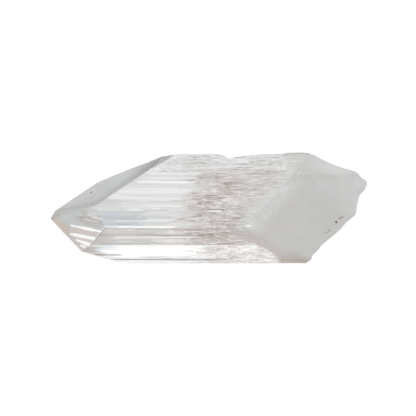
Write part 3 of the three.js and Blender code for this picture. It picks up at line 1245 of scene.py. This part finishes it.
    def _lay_ends(self, paint: Paint, points: Array) -> Array:
        """Lays the wall's coats near its ends.

        They are the rosy band and the olive corner before the break, a brown rim and a satin
        edge at the point, the worn upper back edge, and the frost with a light seam.

        Args:
            paint: what they are laid on.
            points: the wall's points, by lines and stations.

        Returns:
            How clear each point still is of the rosy band and the frost.
        """
        form, marks = self.form, self.marks
        x, z, over = points[..., 0], points[..., 2], form.over
        flat = points.reshape(-1, 3)
        behind, rosy = form.on(Zone.BACK_UPPER), form.on(Zone.FRONT_UPPER)
        low = form.on(Zone.FRONT_LOWER, Zone.FRONT_EDGE)
        main = form.breaks[1].height(flat).reshape(x.shape)
        edge = np.interp(z, *zip(*marks.rosy_edge, strict=True))
        band = (low | rosy) * ramp(-0.35, 0.25, main - edge)
        paint.lay(Tone.BLUSH, 0.95 * band)
        past_start = x - x[:, :1]
        paint.lay(Tone.BROWN, 0.6 * ramp(0.5, 0.1, past_start) * rosy)
        paint.lay(Tone.OLIVE, low * 0.9 * ramp(*marks.olive_x, x) * ramp(*marks.olive_z, z))
        from_brow = np.where(behind, over, np.where(form.on(Zone.BACK), form.wide - over, np.inf))
        paint.lay(Tone.PALE, 0.6 * ramp(0.8, 0.25, from_brow))
        reach = (0.7 + 1.5 * ramp(4.2, 0.0, over)) * ramp(4.9, 3.9, over)
        paint.lay(Tone.SATIN, behind * 0.9 * ramp(0.3, -0.3, past_start - reach))
        frosted = self.frost(flat, False).reshape(x.shape)
        paint.lay(Tone.VEIL, frosted)
        seam = bell(x - marks.seam_x + 0.2 * (over - marks.seam_over), 0.36) * ramp(1.8, 2.8, over)
        paint.coats(behind, (Tone.CHALK, 0.6 * frosted), (Tone.WHITE, 0.26 * seam))
        return (1 - band) * (1 - ramp(0.1, 0.7, frosted))


def mesh_object(name: str, points: Array, faces: list[Array], sharp: float | None) -> bpy.types.Object:
    """Makes a mesh object from arrays, with its place in its mesh.

    Args:
        name: the object's name.
        points: the vertices in metres, one (x, y, z) each.
        faces: arrays of vertex numbers, one array for each number of sides.
        sharp: edges that bend by more than this, in degrees, are sharp. None is flat shading.

    Returns:
        The new object, linked to the scene.
    """
    mesh = bpy.data.meshes.new(name)
    sides = np.concatenate([np.full(len(f), f.shape[1]) for f in faces])
    corners = np.concatenate([f.ravel() for f in faces])
    starts = np.concatenate([[0], np.cumsum(sides)[:-1]])
    mesh.vertices.add(len(points))
    mesh.vertices.foreach_set("co", points.astype(np.float32).ravel())
    mesh.loops.add(len(corners))
    mesh.loops.foreach_set("vertex_index", corners.astype(np.int32))
    mesh.polygons.add(len(sides))
    mesh.polygons.foreach_set("loop_start", starts.astype(np.int32))
    mesh.polygons.foreach_set("loop_total", sides.astype(np.int32))
    mesh.polygons.foreach_set("use_smooth", np.full(len(sides), sharp is not None))
    mesh.update(calc_edges=True)
    mesh.validate()
    if sharp is not None:
        mesh.set_sharp_from_angle(angle=math.radians(sharp))
    made = bpy.data.objects.new(name, mesh)
    bpy.context.scene.collection.objects.link(made)
    return made


# --- Shader maths ---


class Value:
    """A number that comes out of a shader node, with Python's operators on it."""

    def __init__(self, tree: Tree, socket: bpy.types.NodeSocket) -> None:
        """Wraps a socket of a node tree."""
        self.tree = tree
        self.socket = socket

    def _maths(self, operation: str, *values: object) -> Value:
        """Adds a Math node."""
        return self.tree.node("Math", {"operation": operation}, dict(enumerate(values)))

    def __add__(self, other: object) -> Value:
        """Self plus other."""
        return self._maths("ADD", self, other)

    __radd__ = __add__

    def __sub__(self, other: object) -> Value:
        """Self minus other."""
        return self._maths("SUBTRACT", self, other)

    def __rsub__(self, other: object) -> Value:
        """Other minus self."""
        return self._maths("SUBTRACT", other, self)

    def __mul__(self, other: object) -> Value:
        """Self times other."""
        return self._maths("MULTIPLY", self, other)

    __rmul__ = __mul__

    def step(self, low: float, high: float) -> Value:
        """0 at low, 1 at high and smooth between them.

        Args:
            low, high: where it starts and ends. low may be the larger.

        Returns:
            The step.
        """
        return self.tree.node(
            "MapRange",
            {"interpolation_type": "SMOOTHSTEP"},
            {"Value": self, "From Min": low, "From Max": high},
        )

    def larger(self, other: object) -> Value:
        """The larger of self and other."""
        return self._maths("MAXIMUM", self, other)

    def line(self, width: float) -> Value:
        """1 where self is one half, 0 where it is further from it than the width."""
        return self._maths("ABSOLUTE", self - 0.5).step(width, 0.3 * width)

    def clamp(self) -> Value:
        """Self, held between 0 and 1."""
        return self.tree.node("Clamp", {}, {0: self})


class Tree:
    """The node tree of a material or of the world, with one method that adds any node."""

    def __init__(self, owner: bpy.types.Material | bpy.types.World) -> None:
        """Empties the owner's node tree.

        Args:
            owner: the material or the world that is dressed.
        """
        self.owner = owner
        owner.use_nodes = True
        self.nodes = owner.node_tree.nodes
        self.links = owner.node_tree.links
        self.nodes.clear()

    def node(
        self,
        kind: str,
        settings: dict[str, object] | None = None,
        sockets: dict[int | str, object] | None = None,
        output: int | str = 0,
    ) -> Value:
        """Adds a node.

        Args:
            kind: the node's type, without ShaderNode.
            settings: properties that are set first.
            sockets: values or links of the inputs, by name or number.
            output: the output that is wanted.

        Returns:
            That output.
        """
        made = self.nodes.new(f"ShaderNode{kind}")
        for name, value in (settings or {}).items():
            setattr(made, name, value)
        for name, value in (sockets or {}).items():
            if isinstance(value, Value):
                self.links.new(value.socket, made.inputs[name])
            else:
                made.inputs[name].default_value = value
        return Value(self, made.outputs[output])

    def place(self) -> Value:
        """The Object coordinates, in metres."""
        return self.node("TexCoord", output="Object")

    def attribute(self, name: str, output: str = "Fac") -> Value:
        """One of the mesh's own attributes."""
        return self.node("Attribute", {"attribute_name": name}, output=output)

    def vector(self, operation: str, a: Value, b: Place) -> Value:
        """A number from two vectors."""
        return self.node("VectorMath", {"operation": operation}, {0: a, 1: tuple(b)}, "Value")

    def axis(self, vector: Value, name: str) -> Value:
        """One coordinate of a vector."""
        return self.node("SeparateXYZ", {}, {0: vector}, name)

    def plastic(self, sockets: dict[str, object]) -> Value:
        """The general surface shader."""
        return self.node("BsdfPrincipled", {}, sockets)

    def grain(self, scale: Place, detail: float, rough: float, shift: float = 0, bend: float = 0) -> Value:
        """Noise from 0 to 1 on stretched Object coordinates.

        Args:
            scale: the noise's steps for each metre along each axis.
            detail: how many finer layers are added.
            rough: how strong they are.
            shift: moves the noise, to tell one use from another.
            bend: how much the noise is distorted.

        Returns:
            The noise.
        """
        place = {"Vector": self.place(), "Scale": scale, "Location": (shift, shift, shift)}
        sockets = {
            "Vector": self.node("Mapping", {}, place),
            "Scale": 1.0,
            "Detail": detail,
            "Roughness": rough,
            "Distortion": bend,
        }
        return self.node("TexNoise", {}, sockets)

    def height_over(self, face: EndFace) -> Value:
        """The distance from a face's plane in millimetres, positive outside it."""
        normal = face.normal
        return self.vector("DOT_PRODUCT", self.place(), normal / MM) - float(normal @ np.array(face.through))

    def near(self, at: Place, radius: float) -> Value:
        """1 close to a place given in millimetres, 0 beyond the radius."""
        apart = self.vector("DISTANCE", self.place(), [MM * c for c in at])
        return apart.step(radius * MM, 0.4 * radius * MM)

    def blend(self, share: object, a: object, tone: Tone) -> Value:
        """The colour a where share is 0 and a tone where it is 1."""
        sockets = {0: share, 6: a, 7: (*tone.value, 1)}
        return self.node("Mix", {"data_type": "RGBA"}, sockets, 2)

    def finish(self, surface: Value, volume: Value | None = None) -> bpy.types.Material | bpy.types.World:
        """Links the output.

        Args:
            surface: the surface shader.
            volume: the volume shader, if there is one.

        Returns:
            The material or the world.
        """
        kind = "World" if isinstance(self.owner, bpy.types.World) else "Material"
        out = self.nodes.new(f"ShaderNodeOutput{kind}")
        self.links.new(surface.socket, out.inputs["Surface"])
        if volume is not None:
            self.links.new(volume.socket, out.inputs["Volume"])
        return self.owner


@dataclass(frozen=True)
class DanburiteFinish:
    """Clear crystal that turns satin on one face of the point and milky on the break.

    inner is how much of the skin's colour shows where it is seen from inside the crystal.
    satin_shade_z and satin_shade_x are the heights and places along X, in metres, over which the satin
    face grows darker, in painted shade. bump is the strength of the milky skin's grain and
    bump_depth its height in metres.
    """

    ior: float = 1.63
    tint: Place = (0.80, 0.82, 0.825)
    absorbed: Place = (0.96, 0.85, 0.74)
    density: float = 14.0
    polish: float = 0.03
    milky_roughness: float = 0.62
    inner: float = 0.15
    satin_shade_z: Span = (0.0055, 0.0102)
    satin_shade_x: Span = (-0.0165, -0.0115)
    bump: float = 0.25
    bump_depth: float = 0.1 * MM

    def material(self, form: CrystalForm, specks: list[Speck]) -> bpy.types.Material:
        """Makes the material.

        Args:
            form: the crystal, whose back face of the point is satin.
            specks: its pits and flecks.

        Returns:
            The material.
        """
        tree = Tree(bpy.data.materials.new("danburite"))
        outside = 1 - tree.node("NewGeometry", output="Backfacing")
        satin = tree.height_over(form.point[0]).step(-0.12, -0.04) * outside
        satin = satin * tree.height_over(form.veil_line).step(-0.2, 0.15)
        frost = tree.attribute("frost")
        cloud = tree.grain((300, 420, 420), 3, 0.6)
        speckle = tree.grain((1500, 1500, 1500), 3, 0.6, 3.0)
        streak = tree.grain((90, 3200, 3200), 3, 0.6, 7.0)
        bloom = tree.attribute("bloom", "Color")
        laid = Value(tree, bloom.socket.node.outputs["Alpha"])
        seen = self.inner + (1 - self.inner) * outside
        covered = laid * (0.55 + 0.9 * streak) * seen * (1 - frost)

        clear = tree.plastic(
            {
                "Base Color": (*self.tint, 1),
                "Roughness": self.polish + 0.1 * streak.step(0.45, 0.8),
                "IOR": self.ior,
                "Transmission Weight": 1.0,
            }
        )
        rusty, bright, crumb = self._threads(tree)
        fibred = tree.blend(rusty * 0.62, bloom, Tone.RUST)
        # Painted glints among the fibres, and the crushed grains' own white.
        fibred = tree.blend(bright * 0.7, fibred, Tone.WHITE)
        # Painted shade: the satin face darkens near its edge with the front face, towards its top and
        # towards the break.
        edge_shade = tree.height_over(form.point[1]).step(-4.5, -0.8)
        edge_shade = edge_shade.larger(tree.axis(tree.place(), "Z").step(*self.satin_shade_z))
        satin_shade = 0.5 * edge_shade + 0.38 * tree.axis(tree.place(), "X").step(*self.satin_shade_x)
        shaded = tree.blend(satin * satin_shade * 0.85, fibred, Tone.PAINTED_SHADE)
        grit = frost * tree.height_over(form.breaks[0]).step(-0.7, 0.0) * crumb.step(0.5, 0.62)
        skin = tree.blend(0.22 * grit, shaded, Tone.WHITE)
        skin, spotted = self._spotted(tree, skin, specks)
        relief = {"Strength": self.bump, "Distance": self.bump_depth, "Height": speckle}
        bump = tree.node("Bump", {}, relief)
        milky = tree.plastic(
            {"Base Color": skin, "Roughness": self.milky_roughness, "IOR": self.ior, "Normal": bump}
        )
        share = (0.88 + 0.08 * cloud) * frost + (0.72 + 0.14 * satin_shade) * satin + covered + spotted
        share = share + (rusty + bright) * 0.3 * seen * (1 - frost)
        surface = tree.node("MixShader", {}, {0: share.clamp(), 1: clear, 2: milky})
        absorption = {"Color": (*self.absorbed, 1), "Density": self.density}
        return tree.finish(surface, tree.node("VolumeAbsorption", {}, absorption))

    @staticmethod
    def _threads(tree: Tree) -> tuple[Value, Value, Value]:
        """The fine rusty and bright threads of the fibres and of the crushed grains; the bright ones on the
        fibres are painted glints.

        Args:
            tree: the material's tree.

        Returns:
            How rusty and how bright each place is, and the noise of the grains.
        """
        fibres, crush = tree.attribute("fibres"), tree.attribute("crush")
        bundle = tree.grain((170, 620, 620), 2, 0.5, 11.0).step(0.42, 0.56)
        strand = tree.grain((260, 1300, 1300), 2, 0.5, 5.0, 0.9).line(0.035)
        hair = tree.grain((380, 3100, 3100), 3, 0.65, 13.0, 0.5)
        wisp = tree.grain((900, 2300, 2300), 2, 0.6, 21.0, 0.8)
        crumb = tree.grain((850, 2600, 2600), 3, 0.7, 31.0)
        dark = (0.75 * strand).larger(hair.step(0.46, 0.37)).larger(wisp.step(0.43, 0.36))
        # Painted glints: bright specks along the fibres.
        light = hair.step(0.56, 0.64).larger(0.6 * wisp.step(0.62, 0.68))
        rusty = fibres * (0.5 + 0.5 * bundle) * dark + crush * 0.7 * crumb.step(0.45, 0.36)
        bright = fibres * light + crush * 0.8 * crumb.step(0.52, 0.62)
        return rusty, bright, crumb

    @staticmethod
    def _spotted(tree: Tree, skin: Value, specks: list[Speck]) -> tuple[Value, Value]:
        """Lays the specks on the skin, one tone after the other.

        Args:
            tree: the material's tree.
            skin: the colour so far.
            specks: the specks, each whole near its middle.

        Returns:
            The colour with the specks, and how far they cover each place.
        """
        spotted = 0.0
        for tone in (Tone.WHITE, Tone.AMBER, Tone.DARK, Tone.PIT):
            own = [speck for speck in specks if speck.tone is tone]
            spots = sum(tree.near(speck.at, speck.radius) * speck.share for speck in own)
            skin = tree.blend(spots.clamp(), skin, tone)
            spotted = spotted + spots
        return skin, spotted


# --- The studio ---


@dataclass
class Studio:
    """A pale floor, soft light from above and a camera that looks down at the crystal.

    The elevation and the shade's two sizes are in degrees, the lens is in millimetres and the
    other lengths are in metres.
    """

    elevation: float = 60.0
    lens: float = 220.0
    image_width: float = 83.2 * MM
    floor_size: float = 6.0
    floor_drop: float = 0.02 * MM
    floor_colour: float = 0.1
    floor_roughness: float = 0.9
    floor_gloss: float = 0.1
    floor_glow: float = 0.94
    sky: float = 0.86
    horizon: float = 0.55
    window: float = 0.9
    window_side: Span = (0.45, 0.8)
    window_top: Span = (0.7, 0.5)
    shade: float = 0.35
    shade_inner: float = 12.0
    shade_outer: float = 27.0
    bounces: int = 32

    def floor(self) -> None:
        """Lays the floor just under the crystal."""
        half, z = self.floor_size / 2, -self.floor_drop
        points = np.array([[-half, -half, z], [half, -half, z], [half, half, z], [-half, half, z]])
        made = mesh_object("floor", points, [np.array([[0, 1, 2, 3]])], None)
        tree = Tree(bpy.data.materials.new("floor_light_table"))
        grey = self.floor_colour
        surface = tree.plastic(
            {
                "Base Color": (grey, grey, grey, 1),
                "Roughness": self.floor_roughness,
                "Specular IOR Level": self.floor_gloss,
                "Emission Color": (1, 1, 1, 1),
                "Emission Strength": self.floor_glow,
            }
        )
        made.data.materials.append(tree.finish(surface))

    def sky_light(self) -> None:
        """Lights the room softly, with a low window behind and a darker patch at the camera.

        The strength is sky overhead and grows by horizon times the square of one minus the
        direction's height. The window adds its own strength low down towards +Y. Within
        shade_inner degrees of the camera's direction the strength is shade, and the patch
        fades out by shade_outer degrees.
        """
        tree = Tree(bpy.data.worlds.new("studio"))
        toward = tree.node("TexCoord", output="Generated")
        near = tree.vector("DOT_PRODUCT", toward, self.camera_side)
        outer, inner = (math.cos(math.radians(a)) for a in (self.shade_outer, self.shade_inner))
        dark = near.step(outer, inner)
        height, behind = tree.axis(toward, "Z"), tree.axis(toward, "Y")
        low = 1 - height
        window = behind.step(*self.window_side) * height.step(*self.window_top)
        strength = self.sky + self.horizon * low * low + self.window * window
        strength = strength * (1 - dark) + self.shade * dark
        light = tree.node("Background", {}, {"Color": (1, 1, 1, 1), "Strength": strength})
        bpy.context.scene.world = tree.finish(light)

    @property
    def camera_side(self) -> Array:
        """The direction from the crystal to the camera."""
        rise = math.radians(self.elevation)
        return np.array([0.0, -math.cos(rise), math.sin(rise)])

    def camera(self, aim: Array) -> None:
        """Places the camera so that the frame is image_width wide at the crystal.

        Args:
            aim: the point at the middle of the picture, in metres.
        """
        data = bpy.data.cameras.new("camera")
        data.lens = self.lens
        made = bpy.data.objects.new("camera", data)
        distance = self.image_width * self.lens / data.sensor_width
        made.location = aim + self.camera_side * distance
        made.rotation_euler = Vector(-self.camera_side).to_track_quat("-Z", "Y").to_euler()
        bpy.context.scene.collection.objects.link(made)
        bpy.context.scene.camera = made

    def build(self, aim: Array) -> None:
        """Builds it all, lets light bounce often enough inside the crystal, and sets the view.

        Args:
            aim: the point at the middle of the picture, in metres.
        """
        self.floor()
        self.sky_light()
        self.camera(aim)
        scene = bpy.context.scene
        scene.view_settings.view_transform = "Standard"
        for kind in ("max", "glossy", "transmission"):
            setattr(scene.cycles, f"{kind}_bounces", self.bounces)


def main() -> None:
    """Builds the crystal and its studio."""
    logging.basicConfig(level=logging.INFO, format="%(name)s: %(message)s")
    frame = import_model()
    LOG.info("frame has %d node(s)", len(frame["nodes"]))

    form = CrystalForm()
    points, four, three = form.surface()
    skin = CrystalSkin(form)
    bloom, shares = skin.colours(points)
    crystal = mesh_object("crystal", points * MM, [four, three], SHARP_DEGREES)
    layer = crystal.data.attributes.new("bloom", "FLOAT_COLOR", "POINT")
    layer.data.foreach_set("color", bloom.astype(np.float32).ravel())
    for name, values in shares.items():
        layer = crystal.data.attributes.new(name, "FLOAT", "POINT")
        layer.data.foreach_set("value", values.astype(np.float32))
    crystal.data.materials.append(DanburiteFinish().material(form, skin.specks))
    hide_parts(NODE)
    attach(crystal, BODY)
    LOG.info("crystal: %d points, %d triangles", len(points), 2 * len(four) + len(three))

    low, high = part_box(NODE)
    Studio().build((np.array(low) + np.array(high)) / 2)

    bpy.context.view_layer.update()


if __name__ == "__main__":
    main()
